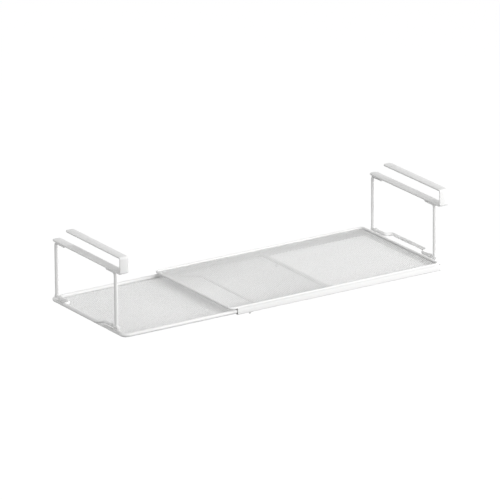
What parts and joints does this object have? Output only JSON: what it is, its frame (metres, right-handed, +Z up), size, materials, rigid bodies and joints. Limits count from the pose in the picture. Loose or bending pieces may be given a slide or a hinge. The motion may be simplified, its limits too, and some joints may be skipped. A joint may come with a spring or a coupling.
{
  "type": "under-shelf storage basket",
  "caption": "White wire rack that hangs under a shelf from U-shaped clips; its mesh trays slide in each other to change its length.",
  "frame": {"origin": "middle of the right clip's seat, the underside of its upper leg, which rests on the shelf", "axes": "+X along the shelf's edge towards the fixed end, +Y into the shelf, +Z up"},
  "size_m": [0.6156, 0.223, 0.1383],
  "materials": {
    "coated_wire": "white powder coat, satin",
    "coated_sheet": "white powder coat, satin",
    "coated_mesh": "white powder coat on expanded metal, satin"
  },
  "bodies": {
    "fixed_tray": {"right_clip": "coated_sheet", "right_front_leg": "coated_wire", "right_back_leg": "coated_wire", "right_grip_bar": "coated_wire", "right_front_strap": "coated_sheet", "right_back_strap": "coated_sheet", "front_channel": "coated_sheet", "back_channel": "coated_sheet", "end_rail": "coated_sheet", "upper_rim": "coated_wire", "upper_mesh": "coated_mesh", "stop_brace": "coated_wire"},
    "sliding_tray": {"left_clip": "coated_sheet", "left_front_leg": "coated_wire", "left_back_leg": "coated_wire", "left_grip_bar": "coated_wire", "left_front_strap": "coated_sheet", "left_back_strap": "coated_sheet", "lower_rim": "coated_wire", "lower_mesh": "coated_mesh", "front_stop_peg": "coated_wire", "back_stop_peg": "coated_wire"}
  },
  "joints": [
    {"name": "tray_slide", "type": "slide", "parent": "fixed_tray", "child": "sliding_tray", "axis": [1, 0, 0], "range_m": [-0.1215, 0.186]}
  ]
}
